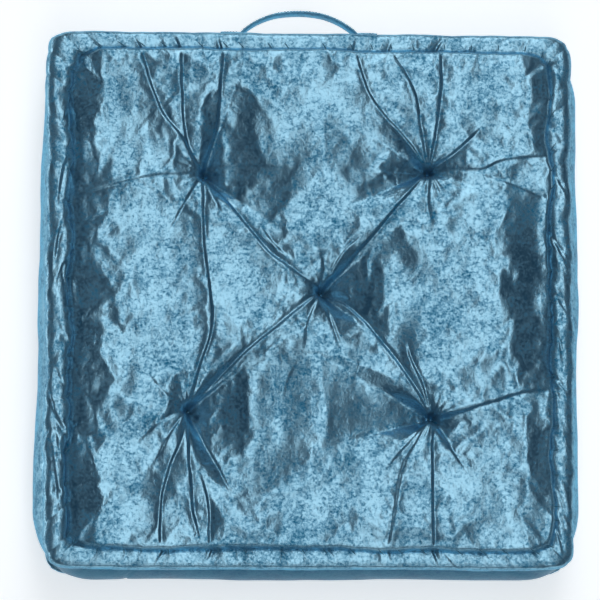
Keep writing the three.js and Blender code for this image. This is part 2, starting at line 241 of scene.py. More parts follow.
FOLDS = [
    # between the tufts
    fold("back_left", (-84, 97), (-44, 49), "centre", broad=6, sharp=4.4, lip=-1),
    fold((-96, 111), (-66, 74), (-40, 43), (-26, 31), sharp=2.4, lip=-1, fade=0.3),
    fold((-56, 78), (-33, 52), (-16, 36), sharp=2.6, lip=-1, fade=0.4),
    fold("back_right", (91, 97), (62, 62), "centre", broad=6, sharp=4.4, lip=-1),
    fold((64, 73), (40, 54), (23, 28), (16, 14), sharp=2.6, fade=0.2),
    fold("front_left", (-64, -56), "centre", broad=6, sharp=3.6, lip=-1),
    fold((-112, -104), (-94, -88), (-70, -67), sharp=1.8, lip=-1, fade=0.5),
    fold("front_right", (108, -92), (81, -54), (55, -21), (33, -2), "centre", broad=6, sharp=4.4),
    fold((112, -96), (92, -70), (72, -44), sharp=1.8, fade=0.4),
    fold("back_left", (-115, 85), (-113, 44), (-106, -8), (-107, -38), (-117, -72), "front_left",
         broad=5, sharp=3.0, lip=-1, spread=10),
    # from the back left tuft
    fold("back_left", (-137, 171), (-162, 205), (-183, 266), broad=4, sharp=3.0, spread=9),
    fold("back_left", (-129, 156), (-137, 194), (-140, 266), broad=4, sharp=3.6),
    fold("back_left", (-109, 160), (-100, 194), (-95, 266), broad=5, sharp=4.0, spread=9),
    fold("back_left", (-165, 131), (-209, 121), (-267, 106), broad=3, sharp=2.2, lip=-1, spread=10),
    fold("back_left", (-136, 100), (-157, 61), broad=5, sharp=1.4, lip=-1, fade=0.6, spread=10),
    fold("back_left", (-85, 145), (-16, 141), broad=2.5, sharp=1.4, fade=0.5, spread=9),
    fold("back_left", (-104, 107), (-86, 79), broad=3, sharp=1.6, lip=-1, fade=0.5),
    fold((-265, 68), (-238, 82), (-212, 95), sharp=2.4, fade=0.4),
    # from the back right tuft
    fold("back_right", (135, 179), (141, 226), (142, 268), broad=6, sharp=4.6, spread=10),
    fold("back_right", (119, 184), (112, 224), (89, 268), broad=3, sharp=2.4, spread=9),
    fold("back_right", (105, 171), (83, 196), (63, 224), (49, 268), broad=3, sharp=2.2, spread=9),
    fold("back_right", (158, 161), (189, 190), broad=6, sharp=3.2, fade=0.35, spread=11),
    fold("back_right", (150, 142), (186, 141), (209, 150), (247, 155), (268, 156),
         broad=4, sharp=2.2, spread=10),
    fold((168, 139), (193, 133), (225, 121), (265, 105), broad=1, sharp=1.8, lip=-1),
    fold("back_right", (128, 103), (133, 74), broad=4, sharp=1.8, fade=0.5, spread=9),
    fold("back_right", (80, 138), (35, 140), broad=3, sharp=1.0, fade=0.6, spread=9),
    # from the front left tuft
    fold("front_left", (-137, -150), (-153, -192), (-159, -223), (-160, -266),
         broad=4, sharp=3.0, lip=-1),
    fold("front_left", (-130, -165), (-126, -223), (-122, -243), broad=6, sharp=4.4, lip=-1, spread=10),
    fold((-117, -190), (-109, -226), (-108, -266), broad=2, sharp=3.4, lip=-1, spread=7),
    fold("front_left", (-112, -158), (-90, -198), (-79, -224), broad=4, sharp=2.0, fade=0.4),
    fold("front_left", (-169, -117), (-207, -117), broad=2, sharp=1.2, fade=0.4, spread=9),
    fold("front_left", (-155, -104), (-178, -78), broad=2, sharp=1.4, fade=0.5, spread=9),
    fold("front_left", (-165, -141), (-194, -168), broad=3, sharp=1.4, fade=0.5, spread=9),
    fold("front_left", (-149, -148), (-174, -193), broad=3, sharp=1.4, fade=0.5, spread=9),
    # from the front right tuft
    fold("front_right", (130, -202), (131, -268), broad=6, sharp=4.8, lip=-1, spread=10),
    fold("front_right", (165, -122), (197, -112), (227, -103), (266, -97), broad=5, sharp=2.4, spread=9),
    fold("front_right", (120, -95), (106, -62), (102, -44), broad=4, sharp=3.2, fade=0.3),
    fold("front_right", (100, -178), (89, -233), (83, -268), broad=3, sharp=1.8, spread=9),
    fold("front_right", (99, -163), (73, -194), broad=4, sharp=1.6, fade=0.5, spread=9),
    fold("front_right", (150, -163), (174, -199), broad=6, sharp=1.4, lip=-1, fade=0.5, spread=12),
    # from the middle tuft
    fold("centre", (25, -30), (36, -62), broad=4, sharp=2.2, fade=0.5, spread=9),
    fold("centre", (-4, -30), (-8, -64), broad=3, sharp=1.4, fade=0.5, spread=9),
    fold("centre", (13, 36), (8, 58), broad=3, sharp=1.2, fade=0.5, spread=9),
    fold("centre", (48, 2), (78, 6), broad=3, sharp=1.2, fade=0.6, spread=12),
    fold("centre", (-28, 5), (-56, 4), broad=3, sharp=1.0, fade=0.6, spread=10),
    # loose creases of the open cloth
    fold((96, 12), (112, 26), (124, 42), sharp=1.1, fade=0.5),
    fold((-226, 62), (-206, 78), sharp=1.0, fade=0.6),
    fold((-12, -66), (-24, -92), (-30, -120), sharp=0.9, fade=0.6),
    fold((52, -66), (46, -96), sharp=0.9, lip=-1, fade=0.6),
]
for entry in FOLDS:
    named = [TUFTS[p] if isinstance(p, str) else np.array(p) * MM for p in entry["line"]]
    entry["from_tuft"] = isinstance(entry["line"][0], str)
    entry["line"] = curve_through(named)


# How slackly the face runs down to each tuft, from 0 (a tight pit in a full cushion) to 1 (one long
# slope), by the direction from the tuft in degrees from +X.
TUFT_SLACK = {
    "centre": [(-75, 0.3), (-40, 0.9), (40, 0.9), (62, 0.3), (130, 0.12), (180, 0.08), (235, 0.14)],
    "back_left": [(-65, 0.2), (-36, 0.8), (70, 0.85), (90, 0.4), (130, 0.15), (180, 0.1), (235, 0.12)],
    "back_right": [(-60, 0.12), (-20, 0.38), (36, 0.38), (80, 0.12), (130, 0.2), (150, 0.7),
                   (205, 0.7), (228, 0.15)],
    "front_left": [(-85, 0.3), (-62, 0.95), (36, 0.95), (60, 0.3), (130, 0.15), (180, 0.1), (235, 0.12)],
    "front_right": [(-80, 0.15), (-52, 0.45), (-4, 0.45), (20, 0.12), (80, 0.12), (135, 0.25),
                    (152, 0.8), (196, 0.8), (220, 0.15)],
}
TUFT_DEPTH = 41 * MM
TIGHT_REACH, SLACK_REACH = 36, 126  # how far a tuft's slope reaches in mm, and how much more if slack
PIT_SHARE, PIT_RIM_SHARE = 0.94, 0.06  # how much of a pit is its narrow middle, and how much its rim
PIT_R, PIT_RIM_R = 2.5 * MM, 14 * MM


def nearest_tuft(x, y):
    """How far off the nearest tuft is."""
    return np.min([np.hypot(x - at[0], y - at[1]) for at in TUFTS.values()], axis=0)


def tuft_pull(x, y):
    """How far the twines draw the face in."""
    pull = np.zeros_like(x)
    for name, at in TUFTS.items():
        dx, dy = x - at[0], y - at[1]
        distance = np.hypot(dx, dy)
        turns, slacks = np.array(TUFT_SLACK[name]).T
        slack = np.interp(np.degrees(np.arctan2(dy, dx)), turns, slacks, period=360)
        reach = (TIGHT_REACH + SLACK_REACH * slack) * MM * (1 + 0.15 * noise(x, y, 45 * MM, 6))
        slope = np.clip(1 - distance / reach, 0, 1) ** 2
        pit = PIT_SHARE * np.exp(-distance / PIT_R) + PIT_RIM_SHARE * np.exp(-distance / PIT_RIM_R)
        pull = np.maximum(pull, TUFT_DEPTH * (slack * slope + (1 - slack) * pit))
    return pull


def far_fade(share, fade):
    """1 along a fold, falling to 0 over the last part of it."""
    return 1 - smoothstep(share, 1 - fade, 1) if fade else 1 + 0 * share


LIP_SHARE = 0.3  # of a valley's width and depth is left on the lip side


def broad_folds(x, y):
    """The soft valleys of all folds, as a height. They lie mostly beyond the lip."""
    z = np.zeros(x.size)
    for entry in FOLDS:
        if not entry["broad"]:
            continue
        spread = entry["spread"] * MM
        chosen, offset, share = along_line(x, y, entry["line"], 5 * spread)
        depth = entry["broad"] * MM * far_fade(share, entry["fade"])
        lip_side = smoothstep(offset * entry["lip"], -1.5 * MM, 1.5 * MM)
        left = 1 - (1 - LIP_SHARE) * lip_side
        valley = np.exp(-np.abs(offset) / (spread * left)) * left
        z[chosen] = np.minimum(z[chosen], 0) - depth * valley
    return z.reshape(x.shape)


LIP_HEIGHT = 0.16  # of a pleat's step
RISE_RATE = 3.4  # how steeply the cloth beyond a step rises at first


def pleat(offset, width, reach):
    """The section of a pleat: a rolled edge on the lip side, a sheer step, then a slow rise beyond it."""
    distance = np.abs(offset)
    lip = LIP_HEIGHT * np.exp(-((offset / (1.5 * width)) ** 2))
    beyond = -np.exp(-RISE_RATE * distance / reach) * (1 - smoothstep(distance, 0.6 * reach, reach))
    share = 0.5 + 0.5 * np.tanh(offset / (0.7 * width))
    return share * lip + (1 - share) * beyond


FOLD_REACH = 32 * MM  # how far from a pleat's step the cloth is back at its own height
FOLD_WIDTH = 1.1 * MM  # the width of that step


def sharp_folds(x, y):
    """The steps of all pleats, as a height. They narrow towards a tuft."""
    z = np.zeros(x.size)
    opening = smoothstep(nearest_tuft(x, y), 2 * MM, 40 * MM).ravel()
    narrow, reach = 0.65 + 0.35 * opening, FOLD_REACH * (0.3 + 0.7 * opening)
    wander = (0.8 * MM * noise(x, y, 18 * MM, 8)).ravel()
    for entry in FOLDS:
        chosen, offset, share = along_line(x, y, entry["line"], FOLD_REACH)
        width = FOLD_WIDTH * narrow[chosen]
        start = 1 if entry["from_tuft"] else smoothstep(share, 0, 0.35)
        depth = SHARP_SHARE * entry["sharp"] * MM * far_fade(share, entry["fade"])
        depth = depth * narrow[chosen] * start
        z[chosen] += depth * pleat(offset * entry["lip"] + wander[chosen], width, reach[chosen])
    return z.reshape(x.shape)


FAN_REACH = 20 * MM  # how soon the long gathers of a tuft die away
FINE_REACH = 13 * MM  # and the short ones between them


def gathers(x, y, height):
    """Fine pleats that fan out from each tuft."""
    z = np.zeros_like(x)
    for index, at in enumerate(TUFTS.values()):
        dx, dy = x - at[0], y - at[1]
        distance, angle = np.hypot(dx, dy), np.arctan2(dy, dx)
        fan = np.abs(np.sin(6.5 * angle + 1.4 * np.sin(2 * angle + index) + index))
        fine = np.abs(np.sin(11 * angle + 1.7 * index))
        near = smoothstep(distance, 0, 9 * MM)
        long, short = np.exp(-distance / FAN_REACH), np.exp(-distance / FINE_REACH)
        z += height * near * (1.3 * fan * long + 0.6 * fine * short)
        z -= height * near * long
    return z


# ---- the stitched rim ----

STITCH_PITCH = 27 * MM
STITCH_SCATTER = 0.3  # how far a stitch may lie from its even place, as a share of the pitch
STITCH_START = 0.4  # how far past the front left corner the first one is, as a share of the pitch


def stitch_places(seed):
    """Where the stitches of a roll are, as a rising array of s. They are a little uneven."""
    count = round(8 * GROOVE_HALF / STITCH_PITCH)
    places = np.arange(count) * 8 / count
    scatter = np.random.default_rng(seed).uniform(-STITCH_SCATTER, STITCH_SCATTER, count)
    return places + scatter * 8 / count + STITCH_START * 8 / count


def stitch_pull(s, places, reach):
    """1 at a stitch, fading over reach to 0 between stitches."""
    s = np.asarray(s) % 8
    rounds = np.concatenate([places - 8, places, places + 8])
    after = np.clip(np.searchsorted(rounds, s), 1, len(rounds) - 1)
    gap = np.minimum(np.abs(s - rounds[after - 1]), np.abs(rounds[after] - s)) * GROOVE_HALF
    return np.exp(-gap / reach)


# How wildly the cloth is gathered on each side: front, right, back, left.
WILDNESS = [0.85, 1.4, 0.8, 1.5]


def wildness(s):
    """How wildly the cloth is gathered at s."""
    side = (np.asarray(s) // 2).astype(int) % 4
    return np.choose(side, WILDNESS)


ROLL_PULL_REACH = 7 * MM  # how far from a stitch the cloth of the roll is drawn in
PULL_LEVEL = 0.35  # the stitch_pull at which the cloth is neither drawn in nor let out


def groove_shift(s, places):
    """How far the groove runs outside its even line."""
    wander = 2.8 * MM * noise(np.asarray(s) * GROOVE_HALF, 0 * np.asarray(s), 48 * MM, 5)
    return wildness(s) * (1.4 * MM * (stitch_pull(s, places, ROLL_PULL_REACH) - PULL_LEVEL) + wander)


TOP_STITCHES = stitch_places(11)
FLOOR_STITCHES = stitch_places(12)


# ---- the sitting face ----


def upright(u, v):
    """1 towards the front and back, 0 towards the left and right."""
    m = np.maximum(np.maximum(np.abs(u), np.abs(v)), 1e-9)
    return smoothstep((np.abs(v) - np.abs(u)) / m, -0.02, 0.16)


EDGE_TUCK = 2.5 * MM  # how far a face's edge runs on under the roll


def face_plan(count, places, groove_reach=0.0):
    """A face's grid: its shares (u, v) of the way to the groove, and its plan coordinates (x, y)."""
    line = np.linspace(-1, 1, count)
    u, v = np.meshgrid(line, line, indexing="ij")
    m = np.maximum(np.abs(u), np.abs(v))
    shift = groove_shift(around(u, v), places) + groove_reach * groove_lift(u, v)
    half = GROOVE_HALF + shift * smoothstep(m, 0.9, 1) + EDGE_TUCK * smoothstep(m, 0.992, 1)
    scale = rounding(u, v) ** smoothstep(m, 0.6, 1) * half
    return u, v, *fitted(u * scale, v * scale, m * GROOVE_HALF)


# The width of the face's soft shoulders along X, as a share of its half side, from front to back.
LEFT_SHOULDER = [(-262, 0.17), (-150, 0.21), (-20, 0.26), (90, 0.27), (150, 0.19), (262, 0.17)]
RIGHT_SHOULDER = [(-262, 0.12), (-110, 0.13), (-60, 0.2), (40, 0.27), (95, 0.18), (130, 0.07), (262, 0.1)]
# Where along the right side (y in mm) the groove lies as high as at the front and back, as a share.
RIGHT_LIFT = [(-262, 0.8), (-110, 0.7), (-60, 0), (40, 0), (95, 0.5), (130, 0.8), (262, 0.6)]
LEVEL_LIFT = 14 * MM  # how much higher the groove lies along the front and back
LEVEL_REACH = 5.5 * MM  # and how much further out
SHOULDER_POWER = 2.2  # how round a shoulder is


def shoulder(share, width):
    """The rise from the groove to the full height, over that share of the half side."""
    return 1 - (1 - np.clip((1 - np.abs(share)) / width, 0, 1)) ** SHOULDER_POWER


def value_at(pairs, y):
    """The value at y, from a list of (y in mm, value)."""
    places, values = np.array(pairs).T
    return np.interp(y, places * MM, values)


def groove_lift(u, v):
    """How far the groove lies up and out in the direction (u, v), from 0 to 1."""
    m = np.maximum(np.maximum(np.abs(u), np.abs(v)), 1e-9)
    right = np.where(u > 0, value_at(RIGHT_LIFT, v / m * GROOVE_HALF), 0)
    return right + (1 - right) * upright(u, v)


def groove_height(u, v):
    """The height of the groove in the direction (u, v)."""
    return GROOVE_Z + LEVEL_LIFT * groove_lift(u, v)


EDGE_SAG = 0.12  # how much lower the crown is at its edge, as a share
EDGE_DROP = 3 * MM  # how far below the groove the face's edge ends


def face_height(u, v, x, y):
    """The domed face: long shoulders to the left and right, short ones to the front and back."""
    side = np.where(u < 0, value_at(LEFT_SHOULDER, y), value_at(RIGHT_SHOULDER, y))
    side = side * (1 + 0.14 * noise(x, y, 34 * MM, 9) + 0.1 * noise(x, y, 12 * MM, 15))
    crown = shoulder(u, side) * shoulder(v, 0.09 + 0.03 * noise(x, y, 60 * MM, 10))
    m = np.maximum(np.abs(u), np.abs(v))
    crown *= 1 - EDGE_SAG * m**2.5
    base = groove_height(u, v)
    z = base + (CREST_Z - base) * crown - tuft_pull(x, y)
    z -= (base - GROOVE_Z + EDGE_DROP) * smoothstep(m, 0.994, 1)
    inner = 1 - smoothstep(m, 0.93, 1)
    lumps = 2.6 * MM * noise(x, y, 62 * MM, 3) + 1.3 * MM * noise(x, y, 30 * MM, 4)
    return z + inner * (BROAD_SHARE * broad_folds(x, y) + lumps)


def relax(obj, pinned, frames=14, pressure=4.0, slack=0.01, cap=3 * MM):
    """Blows the cloth up a little with slack in it, so that it creases as cloth does between its pins.

    pinned is how fast each point is held, from 0 to 1. No point moves further than the cap.
    """
    before = np.array([v.co for v in obj.data.vertices])
    group = obj.vertex_groups.new(name="pinned")
    for weight in np.unique(pinned[pinned > 0]):
        group.add([int(i) for i in np.nonzero(pinned == weight)[0]], float(weight), "REPLACE")
    cloth = obj.modifiers.new("cloth", "CLOTH")
    settings = cloth.settings
    settings.quality = 5
    settings.mass = 0.25
    settings.tension_stiffness = 12
    settings.compression_stiffness = 12
    settings.shear_stiffness = 4
    settings.bending_stiffness = 0.08
    settings.air_damping = 2
    settings.vertex_group_mass = "pinned"
    settings.shrink_min = -slack
    settings.use_pressure = True
    settings.uniform_pressure_force = pressure
    settings.effector_weights.gravity = 0
    cloth.collision_settings.use_collision = False
    cloth.point_cache.frame_end = frames
    for step in range(1, frames + 1):
        bpy.context.scene.frame_set(step)
    evaluated = obj.evaluated_get(bpy.context.evaluated_depsgraph_get())
    after = np.array([v.co for v in evaluated.data.vertices])
    obj.modifiers.remove(cloth)
    obj.vertex_groups.remove(group)
    bpy.context.scene.frame_set(1)
    move = after - before
    length = np.linalg.norm(move, axis=1, keepdims=True)
    move *= cap * np.tanh(length / cap) / np.maximum(length, 1e-9)
    obj.data.vertices.foreach_set("co", (before + move).ravel())


def subdivide(obj, levels=1):
    """Gives the object its mesh as a subdivision surface makes it."""
    modifier = obj.modifiers.new("subdivision", "SUBSURF")
    modifier.levels = levels
    evaluated = obj.evaluated_get(bpy.context.evaluated_depsgraph_get())
    mesh = bpy.data.meshes.new_from_object(evaluated)
    obj.modifiers.remove(modifier)
    obj.data = mesh


FACE_COUNT = 217  # points along a side of the sitting face's grid
FLOOR_FACE_COUNT = 161  # and of the floor face's
HELD_BROAD = 3  # folds at least this broad are held fast in the simulation


def held_points(x, y, m):
    """What the stitches, the twines and the pleats hold fast."""
    held = np.where(m.ravel() > 0.985, 1.0, 0.0)
    held[nearest_tuft(x, y).ravel() < 5 * MM] = 1.0
    for entry in FOLDS:
        if entry["broad"] >= HELD_BROAD:
            chosen, offset, share = along_line(x, y, entry["line"], 4 * MM)
            held[chosen[(np.abs(offset) < 2 * MM) & (share < 1 - entry["fade"])]] = 1.0
    return held


GATHER_HEIGHT = 1.4 * MM
FLOOR_GATHER_HEIGHT = 0.9 * MM


def top_face(material):
    """The sitting face: its large shape, then the simulation, then the fine folds and creases."""
    u, v, x, y = face_plan(FACE_COUNT, TOP_STITCHES, LEVEL_REACH)
    obj = grid_object("top_cover", x, y, face_height(u, v, x, y), material)
    relax(obj, held_points(x, y, np.maximum(np.abs(u), np.abs(v))))
    subdivide(obj)
    co = np.array([vertex.co for vertex in obj.data.vertices])
    px, py = co[:, 0] - CENTRE[0], co[:, 1] - CENTRE[1]
    half_x, half_y = fitted(GROOVE_HALF, GROOVE_HALF, GROOVE_HALF)
    edge = np.maximum(np.abs(px) / half_x, np.abs(py) / half_y)
    inside = 1 - smoothstep(edge, 0.975, 1.0)
    co[:, 2] += inside * (sharp_folds(px, py) + gathers(px, py, GATHER_HEIGHT))
    creases = 0.36 * MM * noise(px, py, 14 * MM, 21) + 0.2 * MM * noise(px, py, 6 * MM, 22)
    co[:, 2] += inside * creases
    obj.data.vertices.foreach_set("co", co.ravel())
    return obj


# ---- rolls ----

# How a roll's creases lean on each side (front, right, back, left), in millimetres along the rim
# and how much that scatters, and how many of them start away from the stitches.
ROLL_LEAN = [(5, 12), (-30, 22), (6, 12), (66, 26)]
ROLL_EXTRA = [6, 10, 6, 7]
LEFT_TURN = 0.9  # where along the left side the creases turn to lean the other way
CREASE_DEPTH = 1.4  # in millimetres
CREASE_WIDTH = 1.6 * MM
CREASE_REACH = 14 * MM


def roll_creases(places, seed):
    """Creases over a roll, each as a line and a depth.

    A line's points are (distance along the rim, distance from the groove). Every other stitch has a
    crease that starts in the groove. The extra ones start further up.
    """
    random = np.random.default_rng(seed)
    sewn, extra = list(places[::2]), []
    for side, count in enumerate(ROLL_EXTRA):
        extra += [2 * side + random.uniform(0, 2) for _ in range(count)]
    creases = []
    for index, place in enumerate(sewn + extra):
        side = int(place % 8 // 2)
        lean, scatter = ROLL_LEAN[side]
        if side == 3 and place % 2 > LEFT_TURN:
            lean = -lean
        run = (lean + random.uniform(-scatter, scatter)) * MM
        low = 0.0 if index < len(sewn) else random.uniform(6, 18) * MM
        rise = random.uniform(14, 32) * MM - 0.5 * low
        start = place * GROOVE_HALF
        line = np.array([[start, low], [start + 0.35 * run, low + 0.5 * rise], [start + run, low + rise]])
        creases.append((line, CREASE_DEPTH * WILDNESS[side] ** 1.5 * random.uniform(0.3, 1.1) * MM))
    return creases


def fold_creases():
    """Where the face's folds run on over the roll."""
    creases = []
    for entry in FOLDS:
        end = entry["line"][-1]
        if max(abs(end)) < 0.98 * GROOVE_HALF:
            continue
        place = float(around(*end)) * GROOVE_HALF
        line = np.array([[place, -3 * MM], [place + 2 * MM, 14 * MM], [place, 30 * MM]])
        creases.append((line, 0.9 * entry["sharp"] * MM))
    return creases


# Degrees round a roll: down in the groove, where the cloth's end curls in, and under the seam.
ROLL_START, CURL_START, ROLL_END = 190, -12, -34
ROLL_POWER = 2.7  # the roll's section is a superellipse of this power
CURL_R = 0.72 * ROLL_R  # how near the cloth's end lies to the roll's middle


def roll_surface(name, z_centre, places, creases, material, floor=False):
    """The cloth over a roll, from down in the groove over its flattened top to just under the seam."""
    along, turns = np.linspace(0, 8, 1601), np.radians(np.linspace(ROLL_START, ROLL_END, 44))
    s, angle = np.meshgrid(along, turns, indexing="ij")
    from_groove = (math.pi - angle) * ROLL_R
    groove_side = smoothstep(np.degrees(angle), 70, 170)
    pull = stitch_pull(s, places, ROLL_PULL_REACH)
    ax, ay = rim_point(s, ROLL_HALF)
    section = np.abs(np.cos(angle)) ** ROLL_POWER + np.abs(np.sin(angle)) ** ROLL_POWER
    wild = wildness(s)
    radius = ROLL_R * section ** (-1 / ROLL_POWER)
    radius = radius + 1.3 * MM * wild * noise(ax + from_groove, ay - from_groove, 36 * MM, 31)
    radius += 0.4 * MM * wild * noise(ax - from_groove, ay + from_groove, 12 * MM, 32)
    radius += 0.9 * MM * wild * (PULL_LEVEL - pull) * (1 - 0.6 * groove_side)
    length = s * GROOVE_HALF
    drop = np.zeros(s.size)
    for line, depth in creases:
        for turn in (-8, 0, 8):
            moved = curve_through(line + [turn * GROOVE_HALF, 0], 4)
            chosen, offset, share = along_line(length, from_groove, moved, CREASE_REACH)
            strength = depth * (1 - smoothstep(share, 0.4, 1)) * smoothstep(share, -0.1, 0.25)
            drop[chosen] += strength * pleat(offset, CREASE_WIDTH, CREASE_REACH)
    radius = radius + drop.reshape(s.shape)
    curl = 1 - smoothstep(np.degrees(angle), ROLL_END, CURL_START)
    radius = radius + (CURL_R - radius) * curl
    half = ROLL_HALF + radius * np.cos(angle) + groove_shift(s, places) * groove_side
    z = radius * np.sin(angle)
    if floor:
        z = np.maximum(-z, -z_centre)
    x, y = rim_point(s, half)
    return grid_object(name, x, y, z_centre + z, material, flip=floor)


# ---- walls ----

SIDES = ["front", "right", "back", "left"]
# How full each wall is, as a share of its bulge: at its start, and how much more halfway along it.
WALL_FULLNESS = [(0.95, 0), (0.65, 0.1), (0.75, 0), (0.42, 0.2)]
CORNER_FULLNESS = 0.8  # the same for all walls at their corners, so that they meet
WALL_EDGE = 0.7  # the share of a wall's half height where it turns in under the roll
WALL_EDGE_R = 0.62 * ROLL_R  # how far out of the roll's middle it is there
WALL_EDGE_DROP = 0.79 * ROLL_R  # and how far from it in height


def corner_distance(s):
    """How far s is from the nearest corner, along the rim."""
    return np.minimum(s % 2, 2 - s % 2) * SEAM_HALF


def wall_swell(s):
    """How much of its full bulge a wall has at s. Every wall goes slack towards its corners."""
    from_corner = corner_distance(s)
    share = 0.12 + 0.88 * smoothstep(from_corner, -4 * MM, 70 * MM)
    side = (s // 2).astype(int) % 4
    full = np.choose(side, [start + change * (s % 2) for start, change in WALL_FULLNESS])
    at_corner = 1 - smoothstep(from_corner, 0, 30 * MM)
    return share * (full + (CORNER_FULLNESS - full) * at_corner)


CORNER_SEAM = 2.2 * MM  # how deep and how wide the seam at a corner is
FRONT_JOIN_X = -188 * MM  # where two lengths of the front strip are sewn together


def wall_surface(side, material):
    """One side's panel, from just under the upper roll, over its bulge, to the lower roll."""
    s, v = np.meshgrid(2 * side + np.linspace(0, 2, 241), np.linspace(-1, 1, 44), indexing="ij")
    middle_z, roll_z = (TOP_SEAM_Z + FLOOR_SEAM_Z) / 2, TOP_SEAM_Z - middle("wall_panel_front").z
    tuck = np.clip((np.abs(v) - WALL_EDGE) / (1 - WALL_EDGE), 0, 1)
    under_roll, inside = np.radians(-52 + 62 * tuck), ROLL_R * (1 - 0.3 * tuck)
    open_z = (roll_z - WALL_EDGE_DROP) * np.abs(v) / WALL_EDGE
    z = np.where(tuck > 0, roll_z + inside * np.sin(under_roll), open_z)
    half = np.where(tuck > 0, ROLL_HALF + inside * np.cos(under_roll), ROLL_HALF + WALL_EDGE_R)
    bulge = np.cos(np.clip(v / WALL_EDGE, -1, 1) * math.pi / 2) ** 0.8
    ax, ay = rim_point(s, SEAM_HALF)
    half = half + (WALL_HALF - ROLL_HALF - WALL_EDGE_R) * bulge * wall_swell(s)
    lumps = 1.6 * MM * noise(ax + 0.3 * z, ay + v * 60 * MM, 75 * MM, 51 + side)
    lumps = lumps + 0.6 * MM * noise(ax + v * 40 * MM, ay - v * 40 * MM, 24 * MM, 56)
    from_corner = corner_distance(s)
    half = half + lumps * bulge * smoothstep(from_corner, 0, 20 * MM)
    upper, lower = stitch_pull(s, TOP_STITCHES, 9 * MM), stitch_pull(s, FLOOR_STITCHES, 9 * MM)
    near_edge = np.exp(-((np.abs(v) - WALL_EDGE) / 0.22) ** 2)
    half = half - 2.0 * MM * (np.where(v > 0, upper, lower) - 0.3) * near_edge
    half = half - CORNER_SEAM * np.exp(-from_corner / CORNER_SEAM)
    if side == 0:
        half = half - 2.0 * MM * np.exp(-np.abs(ax - FRONT_JOIN_X) / (1.6 * MM)) * (1 - tuck)
    x, y = rim_point(s, half)
    return grid_object(f"wall_cover_{SIDES[side]}", x, y, middle_z + z * np.sign(v + 1e-9), material)


DIMPLE_DEPTH = 19 * MM
DIMPLE_R = 40 * MM


def bottom_face(material):
    """The face on the floor: flat where it rests, with a dimple at each tuft and a raised rim."""
    u, v, x, y = face_plan(FLOOR_FACE_COUNT, FLOOR_STITCHES)
    m = np.maximum(np.abs(u), np.abs(v))
    away = nearest_tuft(x, y)
    z = FLOOR_GROOVE_Z * (1 - np.sqrt(np.clip(1 - smoothstep(m, 0.9, 1.0) ** 2, 0, 1)))
    z += DIMPLE_DEPTH * np.clip(1 - away / DIMPLE_R, 0, 1) ** 2.2
    uneven = 0.5 * MM * np.abs(noise(x, y, 30 * MM, 61)) * smoothstep(m, 0.1, 0.9)
    z += np.abs(gathers(x, y, FLOOR_GATHER_HEIGHT)) + uneven
    return grid_object("bottom_cover", x, y, np.maximum(z, 0), material, flip=True)


# ---- thread ----


def tube_quads(rings, sides):
    """Quads of a tube from ring to ring, with one face over each end."""
    quads = grid_quads(rings, sides, wrap=True).tolist()
    return quads + [list(range(sides))[::-1], [(rings - 1) * sides + k for k in range(sides)]]


def strand(points, radius, taper=0.35, sides=6):
    """Points and quads of a short thread through the points, thinner at its ends."""
    p = np.array(points, float)
    along = np.gradient(p, axis=0)
    along /= np.linalg.norm(along, axis=1, keepdims=True)
    helper = np.array([0.31, 0.52, 0.79])
    across = np.cross(along, helper)
    across /= np.linalg.norm(across, axis=1, keepdims=True)
    third = np.cross(along, across)
    width = radius * np.where((np.arange(len(p)) == 0) | (np.arange(len(p)) == len(p) - 1), taper, 1)
    turn = np.arange(sides) * 2 * math.pi / sides
    ring = np.cos(turn)[None, :, None] * across[:, None] + np.sin(turn)[None, :, None] * third[:, None]
    rings = p[:, None] + ring * width[:, None, None]
    return rings.reshape(-1, 3), tube_quads(len(p), sides)


def threads_object(name, strands, material):
    """All strands as one object."""
    points, quads = [], []
    for co, faces in strands:
        quads += [[i + len(points) for i in face] for face in faces]
        points += co.tolist()
    return mesh_object(name, points, quads, material)


def bowed(a, b, rise, steps=5):
    """Points from a to b that stand off by rise in the middle."""
    t = np.linspace(0, 1, steps)[:, None]
    return np.array(a) * (1 - t) + np.array(b) * t + np.array(rise) * np.sin(math.pi * t)


STITCH_IN, STITCH_OUT = 1.5 * MM, 4.5 * MM  # how far a stitch reaches to both sides of the groove
STITCH_SLANT = 0.008  # and how far each end lies along the rim from its place, as a part of s


def groove_stitches(name, places, lowest, up, material):
    """A short stitch across the groove at every place. up is 1 on the top and -1 on the floor face."""
    strands = []
    for place in places:
        lift = float(groove_lift(*on_square(place))) if up > 0 else 0
        z = lowest + LEVEL_LIFT * lift
        half = GROOVE_HALF + LEVEL_REACH * lift
        ax, ay = rim_point(place - STITCH_SLANT, half - STITCH_IN)
        bx, by = rim_point(place + STITCH_SLANT, half + STITCH_OUT)
        a = (ax + CENTRE[0], ay + CENTRE[1], z)
        b = (bx + CENTRE[0], by + CENTRE[1], z + 2 * MM * up)
        strands.append(strand(bowed(a, b, (0, 0, 0.8 * MM * up)), 0.6 * MM))
    return threads_object(name, strands, material)


def tuft_stitches(name, at, z, up, material):
    """Two crossed loops of twine down in a tuft."""
    strands = []
    for turn in (0.5, 2.0):
        dx, dy = 2.6 * MM * math.cos(turn), 2.6 * MM * math.sin(turn)
        a = (at[0] + CENTRE[0] - dx, at[1] + CENTRE[1] - dy, z)
        b = (at[0] + CENTRE[0] + dx, at[1] + CENTRE[1] + dy, z)
        strands.append(strand(bowed(a, b, (0, 0, 1.6 * MM * up), 7), 0.8 * MM))
    return threads_object(name, strands, material)


# ---- handle ----

